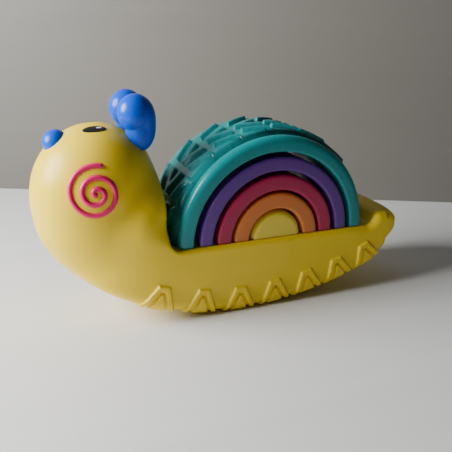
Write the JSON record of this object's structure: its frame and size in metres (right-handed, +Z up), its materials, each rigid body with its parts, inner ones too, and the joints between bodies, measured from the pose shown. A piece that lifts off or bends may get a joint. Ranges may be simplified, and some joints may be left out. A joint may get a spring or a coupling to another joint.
{
  "type": "stacking rocker toy",
  "caption": "Rocking snail toy in moulded plastic whose shell is a nest of loose rainbow arches that lift off its flat deck.",
  "frame": {"origin": "on the ground under the middle of the toy's bounding box, at rest", "axes": "+X towards the tail, +Y towards the snail's right side, +Z up; the head is at -X"},
  "size_m": [0.2212, 0.0644, 0.1264],
  "materials": {
    "yellow_plastic": "smooth injection-moulded plastic, satin gloss",
    "blue_plastic": "smooth injection-moulded plastic, satin gloss",
    "pink_plastic": "smooth injection-moulded plastic, satin gloss",
    "black_plastic": "smooth injection-moulded plastic, satin gloss",
    "white_plastic": "smooth injection-moulded plastic, satin gloss",
    "teal_plastic": "smooth injection-moulded plastic, satin gloss",
    "purple_plastic": "smooth injection-moulded plastic, satin gloss",
    "magenta_plastic": "smooth injection-moulded plastic, satin gloss",
    "orange_plastic": "smooth injection-moulded plastic, satin gloss",
    "disc_yellow_plastic": "smooth injection-moulded plastic, satin gloss"
  },
  "bodies": {
    "snail_body": {"body_left_shell": "yellow_plastic", "body_right_shell": "yellow_plastic", "nose": "blue_plastic", "antenna_left": "blue_plastic", "antenna_right": "blue_plastic", "cheek_spiral_left": "pink_plastic", "cheek_spiral_right": "pink_plastic", "eye_left": "black_plastic", "eye_right": "black_plastic", "eye_glint_left": "white_plastic", "eye_glint_right": "white_plastic"},
    "disc": {"disc_left": "disc_yellow_plastic", "disc_right": "disc_yellow_plastic"},
    "orange_arch": {"orange_arch_left": "orange_plastic", "orange_arch_right": "orange_plastic"},
    "pink_arch": {"pink_arch_left": "magenta_plastic", "pink_arch_right": "magenta_plastic"},
    "purple_arch": {"purple_arch_left": "purple_plastic", "purple_arch_right": "purple_plastic"},
    "teal_arch": {"teal_arch_band": "teal_plastic", "teal_arch_left_cover": "teal_plastic", "teal_arch_right_cover": "teal_plastic"}
  },
  "joints": [
    {"name": "disc_lift", "type": "slide", "parent": "snail_body", "child": "disc", "axis": [0, 0, 1], "range_m": [0, 0.03]},
    {"name": "orange_arch_lift", "type": "slide", "parent": "disc", "child": "orange_arch", "axis": [0, 0, 1], "range_m": [0, 0.035]},
    {"name": "pink_arch_lift", "type": "slide", "parent": "orange_arch", "child": "pink_arch", "axis": [0, 0, 1], "range_m": [0, 0.045]},
    {"name": "purple_arch_lift", "type": "slide", "parent": "pink_arch", "child": "purple_arch", "axis": [0, 0, 1], "range_m": [0, 0.055]},
    {"name": "teal_arch_lift", "type": "slide", "parent": "purple_arch", "child": "teal_arch", "axis": [0, 0, 1], "range_m": [0, 0.07]}
  ]
}
